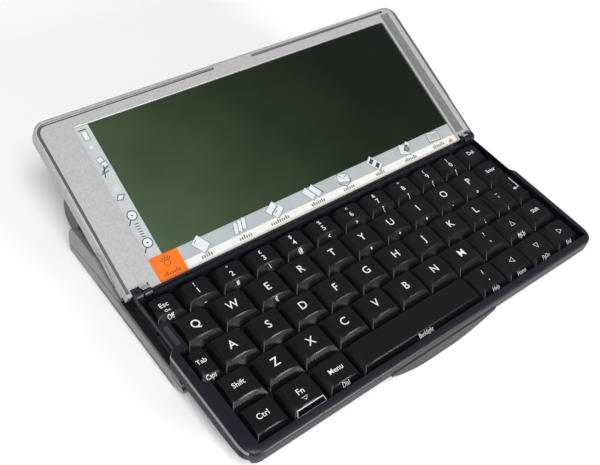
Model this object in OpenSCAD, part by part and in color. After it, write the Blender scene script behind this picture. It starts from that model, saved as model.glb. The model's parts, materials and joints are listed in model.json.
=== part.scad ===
// Clamshell personal digital assistant with a sliding keyboard.
// Millimetres. X runs along the hinge, +Y to the rear, +Z up, z = 0 under the feet.
// It is drawn open: the keyboard is slid forward and the lid leans back on the battery barrel.

/* [Overall] */
// Width of the lid and of the base
body_w = 170; // [169.5:0.1:170.5]
// Height of the plane on which the closed lid meets the keyboard tray
close_z = 14.4; // [14.4:0.1:14.6]
// Thickness of the rubber feet
foot_t = 0.8; // [0.6:0.1:0.8]

/* [Lid] */
// Height of the lid, from the hinge axis to its far edge
lid_h = 68.5; // [68:0.1:69]
// Thickness of the lid
lid_t = 8.6; // [8.4:0.1:8.6]
// Angle of the open lid above the horizontal
open_angle = 21.5; // [21.5:0.5:23]
// Rounding of the lid's far corners
lid_corner = 5; // [3:0.5:7]
// Thickness of the front bezel
bezel_t = 1.5; // [1.4:0.1:1.6]

/* [Display] */
// Left edge of the window in the bezel
window_l = -71.9; // [-72.2:0.1:-71.6]
// Right edge of the window in the bezel
window_r = 75; // [74.8:0.1:75.2]
// Upper edge of the window, above the hinge axis
window_high = 62.2; // [62:0.1:62.4]

/* [Keyboard] */
// Depth of the keyboard tray
tray_d = 67; // [67:0.1:67.3]
// Distance from one letter key to the next
key_pitch = 14.7; // [14.66:0.01:14.72]
// Distance from one digit key to the next
digit_pitch = 13.82; // [13.8:0.01:13.84]
// Distance from one row of letters to the next
row_pitch = 12.7; // [12.6:0.05:12.75]
// Depth of the row of digits
digit_row_d = 10.7; // [10.5:0.1:10.8]
// How far a key goes down
key_travel = 1.2; // [0.8:0.1:1.2]
// Height of a key cap
cap_h = 2.8; // [2.4:0.1:2.9]

/* [Battery barrel] */
// Outer radius of the barrel
barrel_r = 10; // [9.9:0.05:10]
// Distance of the barrel's axis behind the hinge axis
barrel_y = 42.8; // [42.8:0.1:43.4]
// Diameter of one round cell
cell_d = 14.5; // [14:0.1:14.5]
// Length of one round cell
cell_l = 50.5; // [50:0.1:50.5]

/* [Slide] */
// Travel of the keyboard between open and closed
slide = 30; // [29:0.1:30]

/* [Hidden] */
$fn = 48;
fit = 0.05;

// Heights
barrel_z = foot_t + barrel_r;
floor_t = 1.1;
floor_top = foot_t + floor_t;
deck_z = 5.8;
deck_t = 0.45;
pan_z = 6.5;
pan_floor_t = 0.6;
wide_z = 8.7;
plate_t = 0.6;
case_top = 12.4;
rim_z = close_z - 0.2;
cap_z = 10.7;
stem_low = 8.55;

// Half widths, front to rear
half_w = body_w / 2;
tray_half = half_w - 0.15;
neck_half = half_w - 2.6;
wall_out = half_w - 0.2;
cheek_in = wall_out - 2.1;
rail_in = wall_out - 3.5;
pan_half = rail_in - 0.5;
pan_core = pan_half - 1.2;

// Places along Y, with the hinge axis at zero
tray_rear = -0.5;
shoulder_y = -22.5;
shoulder_run = 2.2;
neck_front = shoulder_y - shoulder_run - 0.5;
tray_corner = 5.5;
chin_depth = 5.9;
chin_lip = 0.4;
base_front = -35.5;
wall_rear = 39;
chin_half = 26;
chin_low = foot_t + 0.6;
closed_gap = 0.6;
nose_rear = -57;
nose_z = 10.6;
well_side = half_w - 2.2;
taper_rear = -27.6;
taper_front = -36.5;
taper_in = wall_out - 5.5;
cheek_top = 13.3;

// Hinge
ear_r = 1.9;
pin_r = 0.8;
lug_in = 76.4;
lug_out = 79.4;
ear_in = 79.6;
ear_out = neck_half;
notch_y = 2.7;
lid_low = 0.5;
lid_edge = 2;
lid_skin = 1.4;
corner_in = neck_half + 0.25;
corner_back = -5;

// Key field
field_l = -81.6;
field_r = 81.4;
low_row_l = -79.3;
field_rear = -2.3;
digit_x = -69.2;
q_x = -78.05;
a_x = -72.6;
z_x = -64.85;
enter_x = 73.4;
key_gap = 0.3;
flank_x = 1.75;
flank_front = 2.6;
flank_rear = 0.9;
cap_wall = 0.8;
stem_r = 1.6;
well_wall = 0.75;

// Barrel
barrel_in = barrel_r - 1.6;
plug_x = 74.8;
barrel_half = plug_x + 1.7;
cap_dome = 5.2;
door_l = -60;
door_r = 44;
door_low = -35;
door_high = 75;
door_gap_low = 5.5;
door_pin_r = 0.5;
door_pin_at = barrel_in + 0.8;

// Side openings in the base
card_y0 = -26.2;
card_y1 = 17.6;
card_z0 = floor_top + 0.2;
card_h = 3.5;
stylus_y = 22.5;
stylus_w = 6.2;
stylus_t = 3;
stylus_z = 4.1;
stylus_l = 92;
cap_x = 50;
cap_y = -12;
cell_cap_r = 11.8;
jack_r = 1.75;
jack_y = -9;
jack_z = 3.9;
socket_x = 72;
socket_y0 = -26.5;
socket_y1 = -14.5;
socket_z0 = 2.2;
socket_z1 = 5.4;
jack_block = 2.5;
screw_r = 1.5;
screw_h = 0.9;
screw_places = [for (x = [-76, 76], y = [-20, 18]) [x, y, foot_t]];
speaker_x = -22;
speaker_y = -18;
speaker_r = 9;
coin_r = 10;
coin_h = 3.2;
board_z = 2.95;
board_t = 0.8;
rail_t = 1.4;
foot_l = 14;
foot_w = 5;
button_x = 38;
button_step = 11;
button_y = 57;
button_half = 2.5;
button_r = 1.6;

// The origin is under the centre of the open object
front_y = tray_d + chin_lip;
rear_y = lid_h * cos(open_angle) + (lid_t - lid_edge) * sin(open_angle);
y_shift = (front_y - rear_y) / 2;

silver = "#b4b5b8";
grey = "#8b8d92";
dark = "#20222a";
black = "#15161a";
steel = "#c3c6c9";

// ---- helpers ----

// From hinge coordinates to the object's own frame
module place() {
    translate([0, y_shift, 0]) children();
}

// From the lid's own frame, with its face on z = 0, to the open lid
module on_lid() {
    place() translate([0, 0, close_z]) rotate([open_angle, 0, 0]) children();
}

// A box from its lowest and highest corners
module span(low, high) {
    translate(low) cube(high - low);
}

// A round bar along X between two places
module bar_x(r, x0, x1, y, z) {
    translate([x0, y, z]) rotate([0, 90, 0]) cylinder(r = r, h = x1 - x0);
}

// A Y-Z outline drawn out along X
module drawn_x(x0, x1, points) {
    translate([x0, 0, 0]) rotate([90, 0, 90]) linear_extrude(height = x1 - x0) polygon(points);
}

// A rectangle with a rounding of its own on the far and the near corners
module rounded_plate(half, y0, y1, r_far, r_near) {
    difference() {
        translate([-half, y0]) square([2 * half, y1 - y0]);
        for (side = [-1, 1]) {
            corner_cut(side * half, y1, -side, -1, r_far);
            corner_cut(side * half, y0, -side, 1, r_near);
        }
    }
}

// The sliver between a square corner and its rounding
module corner_cut(x, y, dir_x, dir_y, r) {
    difference() {
        translate([x - 0.1 * dir_x, y - 0.1 * dir_y]) mirror([dir_x < 0 ? 1 : 0, 0])
            mirror([0, dir_y < 0 ? 1 : 0]) square([r + 0.1, r + 0.1]);
        translate([x + dir_x * r, y + dir_y * r]) circle(r = r);
    }
}

// ---- base ----

// Outline of a side wall of the base, seen from the side
function wall_outline(top) = [
    [base_front, floor_top], [base_front, foot_t], [wall_rear - 1, foot_t],
    [wall_rear, foot_t + 1], [wall_rear, top - 4], [wall_rear - 1.2, top - 1.2],
    [wall_rear - 4, top], [lid_slope_y(top), top], [5.6, lid_slope_z(5.6)], [5.2, 7.1],
    [4.4, wide_z - 0.2], [base_front + 5, wide_z - 0.2]
];

// Saddles that carry the barrel
saddle_x = [-70, -30, 10, 70];
saddle_outline = [[32.4, floor_top - 0.1], [32.4, 4.5], [35.5, 8.5], [barrel_y, 8.5],
    [barrel_y, floor_top - 0.1]];

// What is cut off below the front end of each side wall
taper_outline = [[taper_rear, foot_t - 0.1], [taper_front, foot_t + 4.9], [taper_front, -1],
    [taper_rear, -1]];

// The side walls follow the back of the open lid, a little below it
function lid_slope_z(y) = close_z - lid_t * cos(open_angle) - 0.5
    + (y - lid_t * sin(open_angle)) * tan(open_angle);
function lid_slope_y(z) = lid_t * sin(open_angle)
    + (z - close_z + lid_t * cos(open_angle) + 0.5) / tan(open_angle);

module base_shell() {
    color(silver) place() difference() {
        union() {
            translate([0, 0, foot_t]) linear_extrude(height = floor_t)
                rounded_plate(wall_out, base_front, wall_rear, 1, 4);
            for (side = [0, 1]) mirror([side, 0, 0]) {
                drawn_x(cheek_in, wall_out, wall_outline(cheek_top));
                drawn_x(rail_in, cheek_in + 0.01, wall_outline(wide_z - 0.2));
            }
            for (x = [-38, 10, 76], y = [-31, 13])
                translate([x, y, floor_top - 0.1]) cylinder(r = 1.8, h = 1.1);
            for (x = saddle_x) drawn_x(x - 1, x + 1, saddle_outline);
        }
        bar_x(barrel_r + fit, -cheek_in, cheek_in, barrel_y, barrel_z);
        span([-chin_half - 1.5, base_front - 1, 0], [chin_half + 1.5, slide - tray_d
            + chin_depth + closed_gap - chin_lip, 9]);
        span([-90, card_y0, card_z0], [-70, card_y1, card_z0 + card_h]);
        card_door_recess();
        stylus_slot();
        translate([cap_x, cap_y, 0]) cylinder(r = cell_cap_r + fit, h = 4);
        span([socket_x - 2, socket_y0 - 0.2, socket_z0 - 0.1], [90, socket_y1 + 0.2,
            socket_z1 + 0.1]);
        bar_x(jack_r + fit, 75, 90, jack_y, jack_z);
        for (at = screw_places) translate(at) cylinder(r = screw_r + 0.02, h = screw_h);
        for (side = [0, 1]) mirror([side, 0, 0]) drawn_x(taper_in, 90, taper_outline);
        for (i = [-3:3]) span([speaker_x + 2.2 * i - 0.5, speaker_y - 5, 0],
            [speaker_x + 2.2 * i + 0.5, speaker_y + 5, 4]);
    }
}

module card_door_recess() {
    span([-90, card_y0 - 0.9, 1.25], [-wall_out + 1.15, card_y1 + 0.9, card_z0 + card_h + 0.6]);
    translate([-wall_out + 0.6, card_y0 - 2, 1.9]) rotate([-90, 0, 0])
        cylinder(r = 0.4, h = card_y1 - card_y0 + 4);
}

module stylus_slot() {
    span([70, stylus_y - stylus_w / 2 - 0.2, stylus_z - stylus_t / 2 - 0.15],
        [90, stylus_y + stylus_w / 2 + 0.2, stylus_z + stylus_t / 2 + 0.15]);
}

module base_deck() {
    color(steel) place() translate([0, 0, deck_z]) linear_extrude(height = deck_t)
        difference() {
            translate([-rail_in + 0.1, base_front + 1]) square([2 * rail_in - 0.2, 66.3]);
            translate([-chin_half - 2, base_front]) square([2 * chin_half + 4, 6]);
            for (x = [-60, -20, 20, 60]) translate([x, 10]) circle(r = 4);
        }
}

module slide_rails() {
    color(steel) place() for (side = [0, 1]) mirror([side, 0, 0])
        span([rail_in - rail_t, base_front + 2, deck_z + deck_t + 0.3], [rail_in, 29.5, 7.15]);
}

module rubber_feet() {
    color(black) place() for (x = [-68, 68], y = [-29, 26])
        translate([x - foot_l / 2, y - foot_w / 2, 0]) cube([foot_l, foot_w, foot_t]);
}

module base_screws() {
    color(steel) place() for (at = screw_places) translate(at)
        difference() {
            cylinder(r = screw_r, h = screw_h);
            span([-1, -0.25, -0.1], [1, 0.25, 0.4]);
            span([-0.25, -1, -0.1], [0.25, 1, 0.4]);
        }
}

// ---- battery barrel ----

// A slice of a tube about the barrel's axis, between two angles from +Y towards +Z
module barrel_sector(r_in, r_out, x0, x1, a0, a1) {
    translate([x0, barrel_y, barrel_z]) rotate([90, 0, 90]) rotate([0, 0, a0])
        rotate_extrude(angle = a1 - a0) translate([r_in, 0]) square([r_out - r_in, x1 - x0]);
}

// Where the battery door's hinge axis lies
function door_pin_y() = barrel_y + door_pin_at * cos(door_low);
function door_pin_z() = barrel_z + door_pin_at * sin(door_low);

module barrel_shell() {
    color(silver) place() difference() {
        bar_x(barrel_r, -barrel_half, barrel_half, barrel_y, barrel_z);
        bar_x(barrel_in, -plug_x, plug_x, barrel_y, barrel_z);
        barrel_sector(barrel_in - 1, barrel_r + 1, door_l - 0.15, door_r + 0.15,
            door_low - door_gap_low, door_high + 0.8);
        bar_x(door_pin_r + fit, door_l - 2.2, door_r + 2.2, door_pin_y(), door_pin_z());
        barrel_sector(barrel_in + 0.5, barrel_r + 1, 52, 68, -8, 24);
    }
}

module barrel_caps() {
    color(grey) place() for (side = [0, 1]) mirror([side, 0, 0])
        translate([barrel_half, barrel_y, barrel_z]) rotate([0, 90, 0]) rotate_extrude()
            polygon([[0, 0], [barrel_r, 0], [barrel_r, 0.6], [barrel_r - 0.4, 2],
                [barrel_r - 1.5, 3.4], [barrel_r - 3.2, 4.5], [barrel_r - 5.5, cap_dome],
                [0, cap_dome]]);
}

module battery_door() {
    color(silver) place() union() {
        barrel_sector(barrel_in, barrel_r, door_l, door_r, door_low, door_high);
        bar_x(0.78, door_l, door_r, door_pin_y(), door_pin_z());
        bar_x(door_pin_r, door_l - 1.6, door_r + 1.6, door_pin_y(), door_pin_z());
    }
}

module aa_cells() {
    color("#c9742a") place() for (i = [0, 1]) translate([door_l + 1.2 + i * (cell_l + 0.3),
        barrel_y, barrel_z]) rotate([0, 90, 0]) union() {
            cylinder(r = cell_d / 2, h = cell_l - 1.2);
            cylinder(r = 2.7, h = cell_l);
        }
}

module battery_contacts() {
    color(steel) place() for (x = [door_l - 0.3, door_l + 1.3 + 2 * cell_l + 0.4])
        bar_x(5, x, x + 0.8, barrel_y, barrel_z);
}

module ir_window() {
    color("#2a0f14") place()
        barrel_sector(barrel_in + 0.55, barrel_r, 52.1, 67.9, -7.5, 23.5);
}

// ---- inside the base ----

module backup_cell() {
    color(steel) place() translate([cap_x, cap_y, floor_top + 0.15])
        cylinder(r = coin_r, h = coin_h);
}

module backup_cell_cap() {
    color(grey) place() translate([cap_x, cap_y, foot_t]) difference() {
        cylinder(r = cell_cap_r, h = floor_t);
        span([-6, -0.8, -0.1], [6, 0.8, 0.5]);
    }
}

module main_board() {
    color("#1f6a3c") place() difference() {
        union() {
            span([-41, -33, board_z], [79, 15.5, board_z + board_t]);
            for (i = [0:3]) span([-36 + 19 * i, -5, board_z + 0.7], [-24 + 19 * i, 9, 5.1]);
            for (i = [0:2]) span([-8 + 14 * i, -28, board_z + 0.7], [-1 + 14 * i, -17, 4.9]);
        }
        translate([cap_x, cap_y, 0]) cylinder(r = coin_r + 0.6, h = 9);
        translate([speaker_x, speaker_y, 0]) cylinder(r = speaker_r + 0.5, h = 9);
        span([-chin_half - 3, -36, 0], [chin_half + 3, -29.5, 9]);
        span([67, -40, 0], [90, -3, 9]);
    }
}

module card_cage() {
    color(steel) place() difference() {
        span([-rail_in + 0.2, card_y0 - 0.5, card_z0 - 0.15],
            [-43.5, card_y1 + 0.5, card_z0 + card_h + 0.15]);
        span([-90, card_y0, card_z0], [-45, card_y1, card_z0 + card_h]);
    }
}

module memory_card_door() {
    door_x = -wall_out;
    color(silver) place() union() {
        span([door_x, card_y0 - 0.75, 1.9], [door_x + 0.9, card_y1 + 0.75,
            card_z0 + card_h + 0.4]);
        translate([door_x + 0.6, card_y0 - 0.75, 1.9]) rotate([-90, 0, 0])
            cylinder(r = 0.5, h = card_y1 - card_y0 + 1.5);
        translate([door_x + 0.6, card_y0 - 1.8, 1.9]) rotate([-90, 0, 0])
            cylinder(r = 0.34, h = card_y1 - card_y0 + 3.6);
    }
}

module speaker() {
    color(black) place() translate([speaker_x, speaker_y, floor_top + 0.02]) union() {
        cylinder(r = speaker_r, h = 1.6);
        cylinder(r = speaker_r - 3, h = 3.2);
    }
}

module serial_socket() {
    color(black) place() difference() {
        span([socket_x, socket_y0, socket_z0], [wall_out - 0.5, socket_y1, socket_z1]);
        span([socket_x + 4, socket_y0 + 1.5, socket_z0 + 0.7], [90, socket_y1 - 1.5,
            socket_z1 - 0.7]);
    }
}

module dc_jack() {
    color(black) place() difference() {
        union() {
            span([socket_x, jack_y - jack_block, floor_top + 0.1],
                [rail_in - 0.1, jack_y + jack_block, deck_z - 0.1]);
            bar_x(jack_r, 80, wall_out - 0.4, jack_y, jack_z);
        }
        bar_x(jack_r - 0.65, 75, 90, jack_y, jack_z);
    }
}

module stylus_holder() {
    color(dark) place() difference() {
        span([84 - stylus_l - 4, stylus_y - stylus_w / 2 - 0.7, floor_top + 0.05],
            [rail_in - 0.1, stylus_y + stylus_w / 2 + 0.7, deck_z - 0.02]);
        span([84 - stylus_l - 3, stylus_y - stylus_w / 2 - 0.2, stylus_z - stylus_t / 2 - 0.15],
            [90, stylus_y + stylus_w / 2 + 0.2, stylus_z + stylus_t / 2 + 0.15]);
    }
}

module stylus() {
    color(grey) place() translate([wall_out + 0.1, stylus_y, stylus_z]) rotate([0, -90, 0])
        union() {
            translate([-stylus_t / 2, -stylus_w / 2, 0]) cube([stylus_t, stylus_w, 14]);
            translate([0, -1.6, 14]) cylinder(r = 1.4, h = stylus_l - 20);
            translate([0, 1.6, 14]) cylinder(r = 1.4, h = stylus_l - 20);
            translate([-1.2, -1.6, 14]) cube([2.4, 3.2, stylus_l - 20]);
            translate([0, 0, stylus_l - 6]) cylinder(r1 = 1.4, r2 = 0.4, h = 5);
        }
}

// ---- keyboard ----

// Outline of the keyboard, wide in front and narrower between the base's cheeks
module tray_outline() {
    wide_end = shoulder_y - shoulder_run;
    difference() {
        polygon([[-tray_half, -tray_d], [tray_half, -tray_d], [tray_half, wide_end],
            [neck_half, shoulder_y], [neck_half, tray_rear], [-neck_half, tray_rear],
            [-neck_half, shoulder_y], [-tray_half, wide_end]]);
        for (side = [-1, 1]) corner_cut(side * tray_half, -tray_d, -side, 1, tray_corner);
    }
}

// Rear and front edge of each row of keys
function row_rear(row) = field_rear - (row == 0 ? 0 : digit_row_d + (row - 1) * row_pitch);
function row_front(row) = row_rear(row) - (row == 0 ? digit_row_d : row_pitch);

// Outline of the well that holds the keys and the lamp beside them
module key_well(spare) {
    key_pocket(spare);
    translate([field_l - spare, row_front(1) - spare])
        square([q_x - field_l + 2 * spare, row_pitch + 2 * spare]);
}

// Outline of the pocket that holds the keys
module key_pocket(spare) {
    translate([field_l - spare, row_front(0) - spare])
        square([field_r - field_l + 2 * spare, digit_row_d + 2 * spare]);
    translate([q_x - spare, row_front(1) - spare])
        square([field_r - q_x + 2 * spare, row_pitch + 2 * spare]);
    translate([field_l - spare, row_front(2) - spare])
        square([field_r - field_l + 2 * spare, row_pitch + 2 * spare]);
    translate([low_row_l - spare, row_front(4) - spare])
        square([field_r - low_row_l + 2 * spare, 2 * row_pitch + 2 * spare]);
}

module keyboard_case() {
    color(grey) place() difference() {
        union() {
            span([-pan_core, -tray_d + 1, pan_z], [pan_core, tray_rear - 0.6, wide_z + 0.01]);
            span([-pan_half, -tray_d + 1, 7.35], [pan_half, tray_rear - 0.6, wide_z + 0.01]);
            translate([0, 0, wide_z]) linear_extrude(height = case_top - wide_z)
                tray_outline();
            chin();
        }
        span([-pan_core + 1, -tray_d + 2, pan_z + pan_floor_t],
            [pan_core - 1, tray_rear - 1.6, 20]);
        translate([0, 0, wide_z + plate_t]) linear_extrude(height = 10) key_well(well_wall + 0.1);
        translate([0, 0, wide_z]) linear_extrude(height = 10) key_pocket(0.1);
        span([-half_w, neck_front, wide_z + plate_t], [half_w, 1, rim_z]);
        for (side = [0, 1]) mirror([side, 0, 0]) drawn_x(well_side, 90, nose_outline);
        for (cell = [tab_cell, enter_cells[1]]) translate(stem_at(cell))
            translate([0, 0, pan_z + pan_floor_t]) cylinder(r = stem_r + 0.2, h = 5);
    }
}

// What is cut off below the front end of each side edge, seen from the side
nose_outline = [[-tray_d - 1, nose_z], [nose_rear, wide_z - 0.1], [-tray_d - 1, wide_z - 0.1]];

// The bow-shaped foot under the front edge
module chin() {
    reach = chin_half + 0.6;
    sag = wide_z - foot_t;
    bow_r = (reach * reach + sag * sag) / (2 * sag);
    intersection() {
        span([-chin_half, -tray_d - chin_lip, chin_low],
            [chin_half, -tray_d - chin_lip + chin_depth, wide_z + 1]);
        translate([0, 0, foot_t + bow_r]) rotate([90, 0, 0])
            cylinder(r = bow_r, h = 200, center = true, $fn = 96);
    }
}

// Room for the lid's lugs at the rear corners
module hinge_room() {
    for (side = [0, 1]) mirror([side, 0, 0]) bar_x(ear_r + 0.3, lug_in - 0.2, ear_in, 0, close_z);
}

module keyboard_tray() {
    color(dark) place() difference() {
        union() {
            translate([0, 0, case_top]) linear_extrude(height = rim_z - case_top)
                tray_outline();
            translate([0, 0, wide_z + plate_t])
                linear_extrude(height = case_top - wide_z - plate_t) union() {
                    key_well(well_wall);
                    intersection() {
                        tray_outline();
                        translate([-half_w, neck_front]) square([2 * half_w, 30]);
                    }
                }
            for (side = [0, 1]) mirror([side, 0, 0])
                bar_x(ear_r, ear_in, ear_out, 0, close_z);
        }
        translate([0, 0, wide_z]) linear_extrude(height = 10) key_pocket(0.15);
        hinge_room();
        for (side = [0, 1]) mirror([side, 0, 0]) bar_x(pin_r, ear_in - 1, ear_out - 0.6, 0, close_z);
        lamp_seat(0.02);
    }
}

module lamp_seat(spare) {
    span([field_l + 0.5 - spare, row_front(1) + 3 - spare, 11.5 - spare],
        [q_x - 1.2 + spare, row_rear(1) - 1.5 + spare, rim_z + spare]);
}

module status_lamp() {
    color("#7d8087") place() lamp_seat(0);
}

module key_guide_plate() {
    color(steel) place() translate([0, 0, wide_z]) linear_extrude(height = plate_t)
        difference() {
            key_pocket(0);
            for (cell = all_cells) translate(stem_at(cell)) circle(r = stem_r + 0.1);
        }
}

module key_membrane() {
    color("#9a7b3a") place() span([-pan_core + 1.2, -tray_d + 2.2, pan_z + pan_floor_t],
        [pan_core - 1.2, tray_rear - 1.8, 7.3]);
}

module front_foot() {
    color(black) place() span([-6.5, -tray_d + 0.4, 0], [6.5, -tray_d + 4.6, chin_low]);
}

module hinge_pins() {
    color(steel) place() for (side = [0, 1]) mirror([side, 0, 0])
        bar_x(pin_r, lug_in, ear_out - 0.6, 0, close_z);
}

// ---- keys: a cell is [left edge, right edge, row] ----

function run_of(x, pitch, row, first, last) = [
    for (i = [first:last]) [x + i * pitch, x + (i + 1) * pitch, row]
];
function stem_at(cell) = [(cell[0] + cell[1]) / 2, (row_rear(cell[2]) + row_front(cell[2])) / 2];

esc_cell = [field_l, digit_x, 0];
delete_cell = [digit_x + 10 * digit_pitch, field_r, 0];
enter_cells = [[q_x + 10 * key_pitch, field_r, 1], [enter_x, field_r, 2]];
tab_cell = [field_l, a_x, 2];
apostrophe_cell = [a_x + 9 * key_pitch, enter_x, 2];
shift_left_cell = [low_row_l, z_x, 3];
shift_right_cell = [z_x + 9 * key_pitch, field_r, 3];
ctrl_cell = [low_row_l, z_x, 4];
space_cell = [z_x + 2 * key_pitch, z_x + 6 * key_pitch, 4];
right_cell = [z_x + 9 * key_pitch, field_r, 4];
all_cells = concat([esc_cell, delete_cell, tab_cell, apostrophe_cell, shift_left_cell,
    shift_right_cell, ctrl_cell, space_cell, right_cell], enter_cells,
    run_of(digit_x, digit_pitch, 0, 0, 9), run_of(q_x, key_pitch, 1, 0, 9),
    run_of(a_x, key_pitch, 2, 0, 8), run_of(z_x, key_pitch, 3, 0, 8),
    run_of(z_x, key_pitch, 4, 0, 1), run_of(z_x, key_pitch, 4, 6, 8));

// Corners of a level rectangle
function corners(x0, x1, y0, y1, z) = [[x0, y0, z], [x1, y0, z], [x1, y1, z], [x0, y1, z]];

// A tapered block on a cell, drawn in by the given inset
module taper(cell, inset, z, h) {
    edge = key_gap / 2 + inset;
    x0 = cell[0] + edge;
    x1 = cell[1] - edge;
    y0 = row_front(cell[2]) + edge;
    y1 = row_rear(cell[2]) - edge;
    polyhedron(
        points = concat(corners(x0, x1, y0, y1, z), corners(x0 + flank_x, x1 - flank_x,
            y0 + flank_front, y1 - flank_rear, z + h)),
        faces = [[0, 1, 2, 3], [7, 6, 5, 4], [4, 5, 1, 0], [5, 6, 2, 1], [6, 7, 3, 2],
            [7, 4, 0, 3]]);
}

// One hollow key cap with its stem
module key_cap(cell) {
    centre = stem_at(cell);
    difference() {
        taper(cell, 0, cap_z, cap_h);
        taper(cell, cap_wall, cap_z - 0.01, cap_h - cap_wall);
    }
    translate([centre[0], centre[1], stem_low]) cylinder(r = stem_r, h = cap_z + cap_h
        - stem_low - 0.3, $fn = 24);
}

module key_caps(cells) {
    color(black) place() for (cell = cells) key_cap(cell);
}

module key_enter() {
    upper = enter_cells[0];
    lower = enter_cells[1];
    color(black) place() union() {
        key_cap(upper);
        key_cap(lower);
        span([lower[0] + flank_x + 1, row_rear(2) - 2, cap_z + 0.6],
            [lower[1] - flank_x - 1, row_rear(2) + 3.2, cap_z + cap_h - 0.9]);
    }
}

// ---- lid, in its own frame: x along the hinge, y up the face, z out of the face ----

module lid_outline(notch_out) {
    difference() {
        rounded_plate(half_w, lid_low, lid_h, lid_corner, 0.6);
        for (side = [0, 1]) mirror([side, 0]) translate([lug_in - 0.5, -1])
            square([notch_out - lug_in + 0.5, notch_y + 1]);
    }
}

module lid_cover() {
    color(silver) on_lid() difference() {
        union() {
            intersection() {
                drawn_x(-half_w, half_w, [[0, -bezel_t], [lid_h, -bezel_t],
                    [lid_h, -lid_t + lid_edge], [lid_h - lid_edge, -lid_t],
                    [lid_low + lid_edge, -lid_t], [lid_low, -lid_t + lid_edge],
                    [0, -lid_t + lid_edge]]);
                translate([0, 0, -lid_t - 1]) linear_extrude(height = lid_t + 2)
                    lid_outline(half_w + 1);
            }
            for (side = [0, 1]) mirror([side, 0, 0]) {
                span([corner_in, lid_low + 0.6, corner_back], [half_w, notch_y + 0.1, -bezel_t]);
                bar_x(ear_r, lug_in, lug_out, 0, 0);
                span([lug_in, 0, -ear_r], [lug_out, notch_y + 0.5, 0]);
            }
        }
        span([-half_w + 2.4, lid_low + 3.6, -lid_t + lid_skin], [half_w - 2.4, lid_h - 1.8, 0]);
        span([-lug_in + 2, lid_low + 1.6, -lid_t + lid_skin + 1.4],
            [lug_in - 2, lid_low + 5, 0]);
        for (side = [0, 1]) mirror([side, 0, 0])
            bar_x(pin_r + fit, lug_in - 1, lug_out + 1, 0, 0);
        for (i = [0:2]) voice_button_hole(i, 0.15);
    }
}

module voice_button_hole(i, spare) {
    deep = lid_skin + 1.5;
    translate([button_x + button_step * i, button_y, -lid_t - 1]) {
        for (x = [-button_half, button_half]) translate([x, 0, 0])
            cylinder(r = button_r + spare, h = deep);
        span([-button_half, -button_r - spare, 0], [button_half, button_r + spare, deep]);
    }
}

module voice_buttons() {
    color(grey) on_lid() for (i = [0:2]) intersection() {
        voice_button_hole(i, 0);
        translate([0, 0, -lid_t]) linear_extrude(height = lid_skin + 0.3)
            square(200, center = true);
    }
}

module lid_bezel() {
    color(silver) on_lid() difference() {
        translate([0, 0, -bezel_t]) linear_extrude(height = bezel_t) lid_outline(corner_in);
        span([window_l, -1, -5], [window_r, window_high, 5]);
        for (side = [0, 1]) mirror([side, 0, 0])
            span([lug_in - 0.05, 0, -5], [lug_out + 0.05, notch_y + 0.55, 5]);
    }
}

module touch_panel() {
    color("#c7cdc8") on_lid() span([window_l + fit, lid_low, -bezel_t],
        [window_r - fit, window_high - fit, -0.7]);
}

module lcd_panel() {
    color("#31402f") on_lid() span([-67.5, 8.5, -3.6], [75.8, 63, -bezel_t - 0.1]);
}

module backlight_sheet() {
    color("#d9ded2") on_lid() span([-67.5, 8.5, -4], [75.8, 63, -3.65]);
}

module display_board() {
    color("#1f6a3c") on_lid() union() {
        span([-62, 14, -5.2], [30, 54, -4.4]);
        for (i = [0:3]) span([-54 + 20 * i, 26, -6.4], [-42 + 20 * i, 40, -5.15]);
    }
}

// ---- the whole object ----

base_shell();
base_deck();
barrel_shell();
barrel_caps();
slide_rails();
rubber_feet();
base_screws();
aa_cells();
battery_contacts();
battery_door();
backup_cell();
backup_cell_cap();
main_board();
card_cage();
memory_card_door();
speaker();
ir_window();
serial_socket();
dc_jack();
stylus_holder();
stylus();
keyboard_case();
keyboard_tray();
key_guide_plate();
key_membrane();
status_lamp();
front_foot();
hinge_pins();
key_caps([esc_cell]);  // key_esc
key_caps(run_of(digit_x, digit_pitch, 0, 0, 4));  // keys_1_to_5
key_caps(run_of(digit_x, digit_pitch, 0, 5, 9));  // keys_6_to_0
key_caps([delete_cell]);  // key_delete
key_caps(run_of(q_x, key_pitch, 1, 0, 4));  // keys_q_to_t
key_caps(run_of(q_x, key_pitch, 1, 5, 9));  // keys_y_to_p
key_enter();
key_caps([tab_cell]);  // key_tab
key_caps(run_of(a_x, key_pitch, 2, 0, 4));  // keys_a_to_g
key_caps(run_of(a_x, key_pitch, 2, 5, 8));  // keys_h_to_l
key_caps([apostrophe_cell]);  // key_apostrophe
key_caps([shift_left_cell]);  // key_shift_left
key_caps(run_of(z_x, key_pitch, 3, 0, 4));  // keys_z_to_b
key_caps(run_of(z_x, key_pitch, 3, 5, 6));  // keys_n_to_m
key_caps(run_of(z_x, key_pitch, 3, 7, 7));  // key_comma
key_caps(run_of(z_x, key_pitch, 3, 8, 8));  // key_up
key_caps([shift_right_cell]);  // key_shift_right
key_caps([ctrl_cell]);  // key_ctrl
key_caps(run_of(z_x, key_pitch, 4, 0, 0));  // key_fn
key_caps(run_of(z_x, key_pitch, 4, 1, 1));  // key_menu
key_caps([space_cell]);  // key_space
key_caps(run_of(z_x, key_pitch, 4, 6, 6));  // key_period
key_caps(run_of(z_x, key_pitch, 4, 7, 7));  // key_left
key_caps(run_of(z_x, key_pitch, 4, 8, 8));  // key_down
key_caps([right_cell]);  // key_right
lid_cover();
lid_bezel();
touch_panel();
lcd_panel();
backlight_sheet();
display_board();
voice_buttons();
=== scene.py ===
import json
import math
from collections import namedtuple

import bmesh
import bpy
from mathutils import Matrix, Vector


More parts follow.
